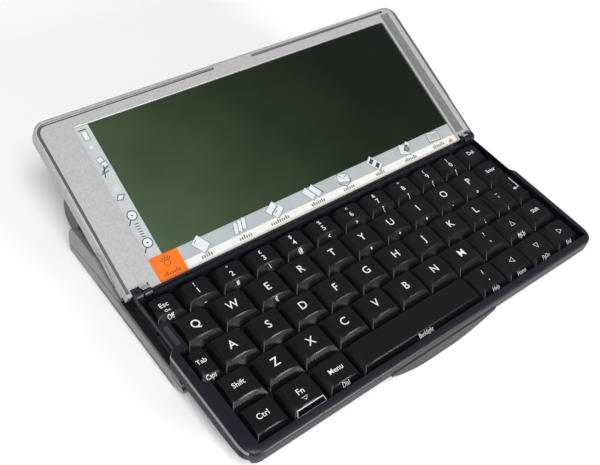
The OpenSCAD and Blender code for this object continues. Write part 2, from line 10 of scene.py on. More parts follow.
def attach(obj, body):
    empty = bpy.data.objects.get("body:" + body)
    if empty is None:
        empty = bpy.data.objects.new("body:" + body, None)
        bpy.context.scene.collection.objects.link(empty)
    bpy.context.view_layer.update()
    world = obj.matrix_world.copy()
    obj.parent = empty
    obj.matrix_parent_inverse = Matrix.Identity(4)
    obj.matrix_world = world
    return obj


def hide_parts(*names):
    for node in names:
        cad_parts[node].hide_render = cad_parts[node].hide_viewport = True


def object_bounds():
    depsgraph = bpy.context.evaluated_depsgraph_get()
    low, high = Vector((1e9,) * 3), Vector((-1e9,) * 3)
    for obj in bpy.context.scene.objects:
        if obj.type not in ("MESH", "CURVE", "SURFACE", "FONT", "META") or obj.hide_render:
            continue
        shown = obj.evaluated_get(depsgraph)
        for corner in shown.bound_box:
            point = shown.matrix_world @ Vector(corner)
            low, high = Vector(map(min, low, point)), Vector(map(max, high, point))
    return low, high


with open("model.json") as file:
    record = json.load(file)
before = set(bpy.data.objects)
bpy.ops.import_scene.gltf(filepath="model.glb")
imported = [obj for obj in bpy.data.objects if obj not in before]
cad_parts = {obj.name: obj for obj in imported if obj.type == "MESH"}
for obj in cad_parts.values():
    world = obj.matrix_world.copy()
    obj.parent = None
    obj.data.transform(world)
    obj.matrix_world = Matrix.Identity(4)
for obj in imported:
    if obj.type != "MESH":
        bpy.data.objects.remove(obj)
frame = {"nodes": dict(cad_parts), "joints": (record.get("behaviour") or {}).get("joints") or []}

cad_low, cad_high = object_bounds()

# ---------- places from the frame

MM = 0.001
joints = {j["name"]: j for j in frame["joints"]}
hinge = Vector(joints["lid_hinge"]["pos_m"])
press = joints["voice_buttons_press"]["axis"]
open_angle = math.atan2(-press[1], press[2])

# Millimetres on the table: x right, y to the rear from the hinge axis, z up
DESK = Matrix.Translation((0, hinge.y, 0)) @ Matrix.Scale(MM, 4)
# Millimetres on the lid: x right, y up the face from the hinge axis, z out of the face
LID = Matrix.Translation(hinge) @ Matrix.Rotation(open_angle, 4, "X") @ Matrix.Scale(MM, 4)
HINGE_Z = hinge.z / MM


def node_span(node, space=DESK):
    """Lowest and highest corner of a CAD node, in a space's millimetres."""
    back = space.inverted()
    corners = [back @ vertex.co for vertex in frame["nodes"][node].data.vertices]
    low, high = ([round(pick(c[i] for c in corners), 3) for i in range(3)] for pick in (min, max))
    return Vector(low), Vector(high)


# ---------- material helpers

class Nodes:
    """A short way to build one material's node tree."""

    def __init__(self, name, colour, roughness, metallic=0.0, coat=0.0, specular=0.5):
        self.mat = bpy.data.materials.new(name)
        self.mat.use_nodes = True
        self.tree = self.mat.node_tree
        self.shader = self.tree.nodes["Principled BSDF"]
        self.set("Base Color", (*colour, 1))
        self.set("Roughness", roughness)
        self.set("Metallic", metallic)
        self.set("Coat Weight", coat)
        self.set("Coat Roughness", 0.12)
        self.set("Specular IOR Level", specular)
        self.place = self.new("ShaderNodeTexCoord").outputs["Object"]

    def new(self, kind, **values):
        node = self.tree.nodes.new(kind)
        for key, value in values.items():
            if hasattr(node, key):
                setattr(node, key, value)
            else:
                node.inputs[key].default_value = value
        return node

    def set(self, socket, value):
        self.shader.inputs[socket].default_value = value

    def join(self, source, target):
        self.tree.links.new(source, target)

    def noise(self, scale, detail=3.0, rough=0.5, stretch=None):
        node = self.new("ShaderNodeTexNoise", Scale=scale, Detail=detail, Roughness=rough)
        place = self.place
        if stretch:
            mapping = self.new("ShaderNodeMapping", Scale=stretch)
            self.join(place, mapping.inputs["Vector"])
            place = mapping.outputs["Vector"]
        self.join(place, node.inputs["Vector"])
        return node.outputs["Fac"]

    def cells(self, scale):
        node = self.new("ShaderNodeTexVoronoi", Scale=scale)
        self.join(self.place, node.inputs["Vector"])
        return node.outputs["Color"]

    def ramp(self, source, stops):
        """A colour ramp; stops is [(place, grey or colour), ...]."""
        node = self.new("ShaderNodeValToRGB")
        while len(node.color_ramp.elements) < len(stops):
            node.color_ramp.elements.new(0.5)
        for element, (at, value) in zip(node.color_ramp.elements, stops):
            element.position = at
            colour = value if isinstance(value, tuple) else (value, value, value)
            element.color = (*colour, 1)
        self.join(source, node.inputs["Fac"])
        return node.outputs["Color"]

    def blend(self, mask, a, b, mode="MIX"):
        node = self.new("ShaderNodeMix", data_type="RGBA", blend_type=mode)
        for value, socket in ((mask, 0), (a, 6), (b, 7)):
            if isinstance(value, (tuple, list)):
                node.inputs[socket].default_value = (*value, 1)
            elif isinstance(value, (int, float)):
                node.inputs[socket].default_value = value
            else:
                self.join(value, node.inputs[socket])
        return node.outputs[2]

    def along(self, axis):
        """One coordinate of the place on the object, in metres."""
        split = self.new("ShaderNodeSeparateXYZ")
        self.join(self.place, split.inputs["Vector"])
        return split.outputs[axis]

    def compute(self, operation, source, value=0.0):
        node = self.new("ShaderNodeMath", operation=operation)
        self.join(source, node.inputs[0])
        node.inputs[1].default_value = value
        return node.outputs["Value"]

    def share(self, source, start, end):
        """How far a value has come from start to end, from 0 to 1."""
        node = self.new("ShaderNodeMapRange")
        node.inputs["From Min"].default_value = start
        node.inputs["From Max"].default_value = end
        self.join(source, node.inputs["Value"])
        return node.outputs["Result"]

    def vary_roughness(self, source, low, high):
        node = self.new("ShaderNodeMapRange")
        node.inputs["To Min"].default_value = low
        node.inputs["To Max"].default_value = high
        self.join(source, node.inputs["Value"])
        self.join(node.outputs["Result"], self.shader.inputs["Roughness"])

    def colour(self, source):
        self.join(source, self.shader.inputs["Base Color"])

    def bump(self, source, strength, distance):
        node = self.new("ShaderNodeBump", Strength=strength, Distance=distance)
        self.join(source, node.inputs["Height"])
        self.join(node.outputs["Normal"], self.shader.inputs["Normal"])


PAINT_ROUGHNESS = 0.42


def flaked(name, dark, light, roughness):
    """The start of a metallic paint: pale flakes in a darker base, and slight orange peel."""
    n = Nodes(name, light, roughness, metallic=0.2, coat=0.15)
    flakes = n.ramp(n.cells(4200), [(0.15, dark), (0.75, light)])
    cloud = n.ramp(n.noise(1300, 4), [(0.3, 0.88), (0.7, 1.0)])
    n.bump(n.noise(2200, 3), 0.25, 0.00004)
    return n, n.blend(1.0, flakes, cloud, "MULTIPLY")


def speckled_paint(name, dark, light, roughness=PAINT_ROUGHNESS):
    """Fine metallic paint of one tone."""
    n, paint = flaked(name, dark, light, roughness)
    n.colour(paint)
    n.vary_roughness(n.noise(1500, 2), roughness - 0.06, roughness + 0.08)
    return n.mat


# The base's side walls beside the keyboard: height above the table in millimetres, and the
# share of the paint's brightness there. Above 7 mm the walls carry painted shadow from the
# keyboard's overhang; the thin dark band lower down is a parting line.
WALL_SHADE_BANDS = [(0, 1.0), (4.7, 1.0), (5.1, 0.12), (5.9, 0.12), (6.2, 0.9), (6.7, 0.9),
              (7.0, 0.03), (10, 0.03)]
SHADE_END_Y = 4.6       # how far behind the hinge axis the painted shadow reaches


def side_shade_paint(name, dark, light):
    """The base's paint; beside the keyboard its side walls are dark with painted shadow under the
    keyboard's overhang, above a bright line of plain paint.
    """
    n, paint = flaked(name, dark, light, PAINT_ROUGHNESS)
    top = WALL_SHADE_BANDS[-1][0]
    height = n.share(n.along("Z"), 0, top * MM)
    # painted shadow: the ramp darkens the side wall to 3 % of the paint above 7 mm
    shade_ramp = n.ramp(height, [(z / top, share) for z, share in WALL_SHADE_BANDS])
    shade_zone = n.compute("LESS_THAN", n.along("Y"), hinge.y + SHADE_END_Y * MM)
    n.colour(n.blend(shade_zone, paint, n.blend(1.0, paint, shade_ramp, "MULTIPLY")))
    return n.mat


CASE_SHADE_X = 84.4      # the case's plastic carries painted shade further out than this


def case_side_shade_material():
    """The keyboard's lower case: grey in front, dark with painted shade along its two sides,
    where they lie in shadow under the tray's edge.
    """
    n = Nodes("keyboard_case_painted_shade", (0.03, 0.03, 0.033), 0.5, specular=0.2)
    side = n.compute("GREATER_THAN", n.compute("ABSOLUTE", n.along("X")), CASE_SHADE_X * MM)
    tint = n.ramp(n.noise(120, 4), [(0.3, 0.026), (0.7, 0.032)])
    # painted shade: the outer sides are made nearly black
    n.colour(n.blend(side, tint, (0.005, 0.005, 0.007)))
    n.bump(n.noise(2500, 2), 0.3, 0.00004)
    return n.mat


def moulded_plastic(name, colour, roughness, grain=2500, strength=0.3, specular=0.5):
    """Moulded plastic with a fine spark-eroded texture and faint handling marks."""
    n = Nodes(name, colour, roughness, specular=specular)
    tint = n.ramp(n.noise(120, 4), [(0.3, tuple(0.85 * c for c in colour)), (0.7, colour)])
    n.colour(tint)
    n.vary_roughness(n.noise(60, 5, 0.6), roughness - 0.07, roughness + 0.08)
    n.bump(n.noise(grain, 2), strength, 0.00004)
    return n.mat


def metal(name, colour, roughness):
    """Rolled or ground metal with fine lines along X."""
    n = Nodes(name, colour, roughness, metallic=1.0)
    lines = n.noise(300, 4, stretch=(1, 40, 40))
    n.colour(n.ramp(lines, [(0.3, tuple(0.8 * c for c in colour)), (0.7, colour)]))
    n.vary_roughness(lines, roughness - 0.06, roughness + 0.1)
    n.bump(lines, 0.15, 0.00003)
    return n.mat


def printed(name, colour, roughness):
    """A flat printed ink under film, with a slight unevenness."""
    n = Nodes(name, colour, roughness, specular=0.3)
    low = tuple(0.93 * c for c in colour)
    n.colour(n.ramp(n.noise(180, 3), [(0.35, low), (0.65, colour)]))
    n.vary_roughness(n.noise(700, 2), roughness - 0.04, roughness + 0.06)
    return n.mat


def lcd_sheen_material():
    """Unlit display under touch film: deep green, with a painted reflection of the light on the
    film that makes it a little paler towards its lower left.
    """
    n = Nodes("lcd_painted_sheen", (0.04, 0.07, 0.04), 0.2, specular=0.22)
    # painted reflection: a slant across the display brightens it towards the lower left
    sheen_slant = n.new("ShaderNodeVectorMath", operation="DOT_PRODUCT")
    n.join(n.place, sheen_slant.inputs[0])
    sheen_slant.inputs[1].default_value = (1.0, 0.6, 0.0)
    sheen_wash = n.ramp(n.share(sheen_slant.outputs["Value"], -0.06, 0.1), [
        (0.0, (0.050, 0.082, 0.041)), (0.25, (0.030, 0.046, 0.021)),
        (0.5, (0.010, 0.018, 0.006)), (0.8, (0.0045, 0.0075, 0.0035)),
        (1.0, (0.0035, 0.006, 0.0035))])
    cloud = n.ramp(n.noise(35, 3), [(0.35, 0.85), (0.65, 1.1)])
    n.colour(n.blend(1.0, sheen_wash, cloud, "MULTIPLY"))
    n.bump(n.noise(1800, 2), 0.05, 0.00002)
    return n.mat


SHELL_TONES = (0.175, 0.175, 0.17), (0.22, 0.216, 0.212)

silver = speckled_paint("silver_paint", (0.36, 0.352, 0.356), (0.45, 0.442, 0.438), 0.4)
# the base's paint, with painted shadow along its side walls under the keyboard
shaded_base_coat = side_shade_paint("base_coat_painted_shade", *SHELL_TONES)
shell_silver = speckled_paint("shell_paint", *SHELL_TONES)
lid_silver = speckled_paint("lid_paint", (0.31, 0.305, 0.31), (0.38, 0.375, 0.375), 0.4)
# dark paint for painted shade in the bezel's groove and on its right outer edge, and for the cut
# lines on the cover
groove_shade_and_line_paint = speckled_paint("groove_shade_and_line_paint", (0.085, 0.083, 0.087), (0.12, 0.118, 0.121))
# painted shade for the faces of the finger channel
channel_shade_paint = speckled_paint("channel_shade_paint", (0.15, 0.147, 0.15), (0.205, 0.2, 0.205))
case_grey = moulded_plastic("case_plastic", (0.03, 0.03, 0.033), 0.5, specular=0.2)
# the keyboard case, with painted shade along its sides
case_shaded_sides = case_side_shade_material()
# a pale grey used as a painted highlight along the tray's rolled left edge
roll_highlight_paint = moulded_plastic("roll_highlight_paint", (0.22, 0.22, 0.225), 0.35, 1500, 0.1)
tray_plastic = moulded_plastic("tray_plastic", (0.006, 0.0065, 0.012), 0.36, specular=0.35)
key_plastic = moulded_plastic("key_plastic", (0.0028, 0.003, 0.0037), 0.32, 3000, 0.25, 0.3)
legend_ink = printed("legend_ink", (0.72, 0.74, 0.74), 0.55)
lamp_plastic = moulded_plastic("lamp_plastic", (0.028, 0.03, 0.036), 0.3)
# painted shadow: the barrel caps are made dark to stand in for the lid's shadow beside them
barrel_cap_shadow = moulded_plastic("barrel_cap_shadow", (0.035, 0.034, 0.034), 0.45)
rubber = moulded_plastic("rubber", (0.018, 0.018, 0.018), 0.75, 1500, 0.5)
black_plastic = moulded_plastic("black_plastic", (0.02, 0.02, 0.022), 0.45)
ir_plastic = moulded_plastic("ir_plastic", (0.035, 0.006, 0.01), 0.12, 1200, 0.05)
sheet_steel = metal("sheet_steel", (0.56, 0.57, 0.58), 0.32)
pin_steel = metal("pin_steel", (0.62, 0.62, 0.64), 0.18)
cell_jacket = printed("cell_jacket", (0.45, 0.16, 0.03), 0.25)
board_green = moulded_plastic("board_green", (0.02, 0.13, 0.05), 0.35, 900, 0.4)
membrane_film = printed("membrane_film", (0.32, 0.2, 0.05), 0.3)
backlight_foil = printed("backlight_foil", (0.6, 0.66, 0.58), 0.4)
strip_ink = printed("strip_ink", (0.40, 0.427, 0.435), 0.35)
band_ink = printed("band_ink", (0.33, 0.36, 0.37), 0.35)
label_ink = printed("label_ink", (0.62, 0.61, 0.58), 0.35)
icon_white = printed("icon_white", (0.55, 0.575, 0.585), 0.35)
icon_grey = printed("icon_grey", (0.30, 0.33, 0.34), 0.35)
icon_dark = printed("icon_dark", (0.045, 0.05, 0.05), 0.35)
word_ink = printed("word_ink", (0.17, 0.17, 0.155), 0.4)
orange_ink = printed("orange_ink", (0.72, 0.135, 0.006), 0.4)
orange_dark = printed("orange_dark", (0.25, 0.06, 0.01), 0.4)
edge_black = moulded_plastic("edge_black", (0.012, 0.013, 0.014), 0.4)
# the display's film, with a painted reflection
display_sheen_film = lcd_sheen_material()


# ---------- mesh helpers

def piece(name, bm, material, body, matrix, smooth, replaces=(), bevel=None):
    """Turns a bmesh in millimetres into a piece that rides on a CAD body."""
    bmesh.ops.remove_doubles(bm, verts=bm.verts, dist=0.0005)
    bmesh.ops.recalc_face_normals(bm, faces=bm.faces)
    bm.transform(matrix)
    mesh = bpy.data.meshes.new(name)
    bm.to_mesh(mesh)
    bm.free()
    for face in mesh.polygons:
        face.use_smooth = True
    mesh.set_sharp_from_angle(angle=math.radians(smooth))
    obj = bpy.data.objects.new(name, mesh)
    bpy.context.collection.objects.link(obj)
    for m in material if isinstance(material, (list, tuple)) else [material]:
        mesh.materials.append(m)
    if bevel:
        round_edges(obj, bevel)
    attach(obj, body)
    if replaces:
        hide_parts(*replaces)
    return obj


def round_edges(obj, width):
    """Rounds an object's sharp edges; the width is in millimetres."""
    weld = obj.modifiers.new("weld", "WELD")
    weld.merge_threshold = 0.00001
    bevel = obj.modifiers.new("round", "BEVEL")
    bevel.width = width * MM
    bevel.segments = 3
    bevel.limit_method = "ANGLE"
    bevel.angle_limit = math.radians(32)
    bevel.harden_normals = True
    bevel.use_clamp_overlap = True


def corners_of(points, radii):
    """Each corner of a closed outline with its radius and the ways to its two neighbours."""
    for i, (corner, radius) in enumerate(zip(points, radii)):
        here = Vector(corner)
        before = (Vector(points[i - 1]) - here).normalized()
        after = (Vector(points[(i + 1) % len(points)]) - here).normalized()
        yield here, radius, before, after


def rounded_corners(points, radii, steps):
    """A closed outline with its corners rounded, by the same number of points each."""
    ring = []
    for here, radius, before, after in corners_of(points, radii):
        start, end = here + before * radius, here + after * radius
        for k in range(steps + 1):
            t = k / steps
            ring.append(start * (1 - t) ** 2 + here * 2 * t * (1 - t) + end * t * t)
    return ring


def arc_corners(points, radii, steps):
    """The same, with true arcs for right-angled corners."""
    ring = []
    for here, radius, before, after in corners_of(points, radii):
        centre = here + (before + after) * radius
        for k in range(steps + 1):
            a = math.pi / 2 * k / steps
            ring.append(centre - after * radius * math.cos(a) - before * radius * math.sin(a))
    return ring


def loft(bm, rings, caps=True):
    """Skins a list of rings of 3-D points, and closes its two ends."""
    made = [[bm.verts.new(p) for p in ring] for ring in rings]
    count = len(made[0])
    for low, high in zip(made, made[1:]):
        for i in range(count):
            j = (i + 1) % count
            bm.faces.new((low[i], low[j], high[j], high[i]))
    if caps:
        bm.faces.new(list(reversed(made[0])))
        bm.faces.new(made[-1])


def at_z(ring, z):
    """A flat ring at height z."""
    return [Vector((p[0], p[1], z)) for p in ring]


def at_x(ring, x):
    """A flat ring of (y, z) points at x."""
    return [Vector((x, p[0], p[1])) for p in ring]


def span_x(side, near, far):
    """The two x values from near to far on one side (-1 left, 1 right), lowest first."""
    return sorted((side * near, side * far))


def block(bm, low, high):
    """A box from its lowest to its highest corner."""
    ring = [(low[0], low[1]), (high[0], low[1]), (high[0], high[1]), (low[0], high[1])]
    loft(bm, [at_z(ring, low[2]), at_z(ring, high[2])])


def plate(bm, points, z0, z1):
    """A flat outline given thickness."""
    area = sum(points[i - 1][0] * points[i][1] - points[i][0] * points[i - 1][1]
               for i in range(len(points)))
    ring = points if area > 0 else list(reversed(points))
    loft(bm, [at_z(ring, z0), at_z(ring, z1)])


def line_sides(points, width, closed=False):
    """The left and the right edge of a line of even width along points."""
    pts = [Vector(p) for p in points]
    last = len(pts) - 1
    left, right = [], []
    for i, p in enumerate(pts):
        a = pts[i - 1] if i or closed else p
        b = pts[(i + 1) % len(pts)] if i < last or closed else p
        along = (b - a).normalized()
        side = Vector((-along.y, along.x)) * width / 2
        left.append(p + side)
        right.append(p - side)
    return left, right


def stroke(bm, points, width, z0, z1, closed=False):
    """A flat line of even width along points, from height z0 to z1."""
    left, right = line_sides(points, width, closed)
    count = len(left)
    for i in range(count if closed else count - 1):
        j = (i + 1) % count
        plate(bm, [left[i], left[j], right[j], right[i]], z0, z1)


def circle(x, y, r, steps=24, start=0.0, turn=360.0):
    """Points round a circle, or along an arc with both of its ends; angles in degrees."""
    full = turn >= 360
    count = steps if full else steps + 1
    return [Vector((x + r * math.cos(math.radians(start + turn * k / steps)),
                    y + r * math.sin(math.radians(start + turn * k / steps))))
            for k in range(count)]


def pill(x, y, half, r):
    """A slot's outline, with its two end centres half away from x."""
    return circle(x + half, y, r, 10, -90, 180) + circle(x - half, y, r, 10, 90, 180)


def turned(points, x, y, angle):
    """Points turned by an angle in degrees and moved to x, y."""
    spin = Matrix.Rotation(math.radians(angle), 2)
    return [spin @ Vector(p) + Vector((x, y)) for p in points]


def rect(w, h):
    """A rectangle's corners round the origin."""
    return [(-w / 2, -h / 2), (w / 2, -h / 2), (w / 2, h / 2), (-w / 2, h / 2)]


# ---------- keyboard layout

letter_low, letter_high = node_span("keys_q_to_t")

KEY_GAP = 0.3
EDGE = KEY_GAP / 2
FLANK_X = 1.75          # how far each flank leans in at the cap's top
FLANK_FRONT = 2.6
FLANK_REAR = 0.9
STEM_LOW, CAP_TOP = letter_low.z, letter_high.z
CAP_H = 2.8
CAP_LOW = CAP_TOP - CAP_H
LIP = 0.35
FLANK_H = CAP_H - 0.6
DISH = 0.32
PAD_FRONT_R = 4.6
PAD_REAR_R = 1.8
PAD_SHIFT = (FLANK_FRONT - FLANK_REAR) / 2
WIDE_KEY = 30           # a key wider than this has no dish across

Cell = namedtuple("Cell", "left right front rear")


def cells_of(node, count=1):
    """The cells of a row of equal keys in one CAD node."""
    low, high = node_span(node)
    pitch = (high.x - low.x + KEY_GAP) / count
    start = low.x - EDGE
    return [Cell(start + i * pitch, start + (i + 1) * pitch, low.y - EDGE, high.y + EDGE)
            for i in range(count)]


def middle_of(cell):
    return (cell.left + cell.right) / 2, (cell.front + cell.rear) / 2


def print_place(cell):
    """The middle of a cap's prints, a little left of the middle of its pad."""
    x, y = middle_of(cell)
    return x - 0.2, y + PAD_SHIFT


def cap_outline(cell, t, front_r=0.4, rear_r=0.4):
    """Outline of a cap at height share t, from its base at 0 to its top at 1."""
    left, right = cell.left + EDGE + FLANK_X * t, cell.right - EDGE - FLANK_X * t
    front, rear = cell.front + EDGE + FLANK_FRONT * t, cell.rear - EDGE - FLANK_REAR * t
    return rounded_corners([(left, front), (right, front), (right, rear), (left, rear)],
                           [front_r, front_r, rear_r, rear_r], 7)


def flank_height(t):
    """Height of a cap's flanks at share t of their way up."""
    return CAP_LOW + LIP + FLANK_H * t


def top_height(cell, x, y):
    """Height of the dished top of a cap."""
    middle_x, middle_y = middle_of(cell)
    width, depth = cell.right - cell.left, cell.rear - cell.front
    u = 0.0 if width > WIDE_KEY else (x - middle_x) / (width / 2 - FLANK_X)
    v = (y - middle_y - PAD_SHIFT) / (depth / 2 - (FLANK_FRONT + FLANK_REAR) / 2)
    return CAP_TOP - DISH * max(0.0, 1 - 0.75 * u * u - 0.5 * v * v)


def key_cap(bm, cell):
    """One cap: a thin lip, tapered flanks, a rolled top edge and a dished top."""
    rings = [at_z(cap_outline(cell, 0), CAP_LOW), at_z(cap_outline(cell, 0), CAP_LOW + LIP)]
    for t in (0.05, 0.4, 0.82):
        rings.append(at_z(cap_outline(cell, t), flank_height(t)))
    top = cap_outline(cell, 1, PAD_FRONT_R, PAD_REAR_R)
    centre = sum(top, Vector((0, 0))) / len(top)
    rings.append(at_z(top, CAP_TOP - 0.1))
    for share in (0.97, 0.92, 0.75, 0.5, 0.25):
        ring = [centre + (p - centre) * share for p in top]
        rings.append([Vector((p.x, p.y, top_height(cell, p.x, p.y))) for p in ring])
    loft(bm, rings)


def stem(bm, cell):
    """The round stem under a cap."""
    ring = circle(*middle_of(cell), 1.6, 16)
    loft(bm, [at_z(ring, STEM_LOW), at_z(ring, CAP_LOW + 0.1)])


# ---------- legends

def words(text, size, x, y):
    """A legend's flat mesh, as (points, faces) in millimetres, placed at x, y."""
    curve = bpy.data.curves.new("legend", "FONT")
    curve.body = text
    curve.size = size
    curve.offset = 0.015
    curve.align_x = "CENTER"
    curve.align_y = "CENTER"
    curve.resolution_u = 3
    holder = bpy.data.objects.new("legend", curve)
    bpy.context.collection.objects.link(holder)
    bpy.context.view_layer.update()
    mesh = bpy.data.meshes.new_from_object(holder)
    points = [(v.co.x + x, v.co.y + y) for v in mesh.vertices]
    faces = [tuple(f.vertices) for f in mesh.polygons]
    bpy.data.objects.remove(holder)
    bpy.data.curves.remove(curve)
    bpy.data.meshes.remove(mesh)
    return points, faces


def lay_flat(bm, shape, height):
    """Lays a flat mesh just above height(x, y), as a thin print."""
    points, faces = shape
    top = [bm.verts.new((x, y, height(x, y) + 0.03)) for x, y in points]
    for face in faces:
        bm.faces.new([top[i] for i in face])


def skirt_height(cell):
    """Height over the front flank of a cap."""
    front = cell.front + EDGE

    def height(x, y):
        return flank_height(max(0.0, min(1.0, (y - front) / FLANK_FRONT))) + 0.05
    return height


def legends(bm, cell, main, size, above="", below=""):
    """The prints on one cap: the main legend, one above it and one on the front flank."""
    x, y = print_place(cell)

    def on_top(px, py):
        return top_height(cell, px, py) + 0.02
    if main:
        lay_flat(bm, words(main, size, x, y - (0.9 if above else 0)), on_top)
    if above:
        lay_flat(bm, words(above, size * 0.72, x, y + 1.9), on_top)
    if below:
        lay_flat(bm, words(below, 1.9, x, cell.front + 1.6), skirt_height(cell))


def arrow_print(turn, word):
    """The print of a cursor key: an open triangle, and a word on the front flank."""
    def show(bm, cell):
        x, y = print_place(cell)
        z = top_height(cell, x, y) + 0.03
        stroke(bm, turned([(1.3, 0), (-0.8, 1.1), (-0.8, -1.1)], x, y, turn), 0.3, z, z + 0.03,
               closed=True)
        legends(bm, cell, "", 1, "", word)
    return show


def key_piece(node, cells, prints):
    """A CAD key node's caps, and a second piece that holds their prints."""
    bm = bmesh.new()
    for cell in cells:
        key_cap(bm, cell)
        stem(bm, cell)
    piece(f"{node}_cap", bm, key_plastic, node, DESK, 30, [node])
    bm = bmesh.new()
    for cell, what in zip(cells, prints):
        if callable(what):
            what(bm, cell)
        else:
            legends(bm, cell, *what)
    if bm.verts:
        piece(f"{node}_print", bm, legend_ink, node, DESK, 30)
    else:
        bm.free()


def letters(text, below=None):
    """A row of letters, with signs on the front flanks of some."""
    below = below or {}
    return [(c, 4.3, "", below.get(c, "")) for c in text]


def fn_print(bm, cell):
    """Fn, with a small mark and an outlined flank."""
    legends(bm, cell, "Fn", 3.0)
    x, y = print_place(cell)
    y -= 2.85
    z = top_height(cell, x, y) + 0.06
    stroke(bm, [(x - 1.2, y + 0.7), (x + 1.2, y + 0.7), (x, y - 0.4)], 0.2, z, z + 0.02, True)
    height = skirt_height(cell)
    upper, lower = cell.front + 2.3, cell.front + 0.7
    corners = [Vector(p) for p in ((cell.left + 2.2, upper), (cell.right - 2.2, upper),
                                   (cell.right - 1.5, lower), (cell.left + 1.5, lower))]
    for p, q in zip(corners, corners[1:] + corners[:1]):
        line = (q - p).normalized()
        side = Vector((-line.y, line.x)) * 0.13
        made = [bm.verts.new((v.x, v.y, height(v.x, v.y) + 0.05))
                for v in (p + side, q + side, q - side, p - side)]
        bm.faces.new(made)


def esc_print(bm, cell):
    """Esc, with On and Off below it."""
    legends(bm, cell, "Esc", 2.6, "", "Off")
    x, y = print_place(cell)
    lay_flat(bm, words("On", 1.6, x, y - 2.45), lambda px, py: top_height(cell, px, py) + 0.05)


def return_arrow(bm, cell):
    """The bent arrow that runs down from the upper part of the enter key."""
    x, y = middle_of(cell)
    x += 0.9
    z = CAP_TOP + 0.03
    stroke(bm, [(x, y + 4.2), (x, y - 1.4), (x - 2.2, y - 1.4)], 0.34, z, z + 0.02)
    plate(bm, [(x - 1.9, y - 0.7), (x - 3.2, y - 1.4), (x - 1.9, y - 2.1)], z, z + 0.02)


def build_keys():
    """Every key node's caps; a row's prints also say how many keys it holds."""
    skirts = ["_", "#", "\\", "@", "<", ">", "[", "]", "{", "}"]
    digits = [(d, 3.1, s, b) for d, s, b in zip("1234567890", "!\"£$%^&*()", skirts)]
    signs = {"Y": "×", "U": "÷", "I": "+", "O": "-", "P": "="}
    keys = {
        "keys_1_to_5": digits[:5], "keys_6_to_0": digits[5:], "key_esc": [esc_print],
        "key_delete": [("Del", 2.6)], "keys_q_to_t": letters("QWERT", {"E": "€"}),
        "keys_y_to_p": letters("YUIOP", signs), "key_tab": [("Tab", 2.4, "", "Caps")],
        "keys_a_to_g": letters("ASDFG"), "keys_h_to_l": letters("HJKL", {"L": ";"}),
        "key_apostrophe": [("'", 3.4, "~", ":")], "key_shift_left": [("Shift", 2.6)],
        "keys_z_to_b": letters("ZXCVB"), "keys_n_to_m": letters("NM"),
        "key_comma": [(",", 3.4, "?")], "key_up": [arrow_print(90, "PgUp")],
        "key_shift_right": [("Shift", 2.4)], "key_ctrl": [("Ctrl", 2.8)],
        "key_fn": [fn_print], "key_menu": [("Menu", 2.6, "", "Dial")],
        "key_space": [("", 1, "", "Backlight")], "key_period": [(".", 3.4, "/", "Help")],
        "key_left": [arrow_print(180, "Home")], "key_down": [arrow_print(-90, "PgDn")],
        "key_right": [arrow_print(0, "End")],
    }
    for node, prints in keys.items():
        key_piece(node, cells_of(node, len(prints)), prints)
    enter = cells_of("key_enter")[0]
    row = cells_of("keys_y_to_p")[0]
    lower_row = cells_of("key_apostrophe")[0]
    upper = Cell(enter.left, enter.right, row.front, row.rear)
    lower = Cell(lower_row.right, enter.right, lower_row.front, row.front + EDGE + 4.2)
    key_piece("key_enter", [upper, lower], [("Enter", 2.3), return_arrow])


# ---------- lid

def lid_ring(left, right, top, low, corner_top, corner_low):
    """An outline on the lid from its four edges, counter-clockwise."""
    return arc_corners([(left, low), (right, low), (right, top), (left, top)],
                       [corner_low, corner_low, corner_top, corner_top], 8)


bezel_low, bezel_high = node_span("lid_bezel", LID)
cover_low = node_span("lid_cover", LID)[0]
panel_low, panel_high = node_span("touch_panel", LID)
voice_low, voice_high = node_span("voice_buttons", LID)

HALF_W = (cad_high.x - cad_low.x) / 2 / MM
LID_LOW, LID_TOP = bezel_low.y, bezel_high.y
BEZEL_T, LID_T = -bezel_low.z, -cover_low.z
GLASS_Z = panel_high.z
NOTCH_LOW = 2.75        # the hinge ears' notches reach this far up the lid
NOTCH_IN, NOTCH_OUT = 75.9, 82.65
LUG_IN, LUG_OUT = 76.4, 79.4
BARREL_R = 1.9
# Edges on the lid: left, right, low, top
WINDOW = (panel_low.x - 0.05, panel_high.x + 0.05, panel_low.y, panel_high.y + 0.05)
DISPLAY = (-66.3, 74.4, 9.3, 61.9)
TILE = (-71.8, -60.6, 0.5, 9.6)
VOICE_STEP = 11
VOICE_PLACES = [((voice_low.x + voice_high.x) / 2 + VOICE_STEP * i,
                 (voice_low.y + voice_high.y) / 2) for i in (-1, 0, 1)]


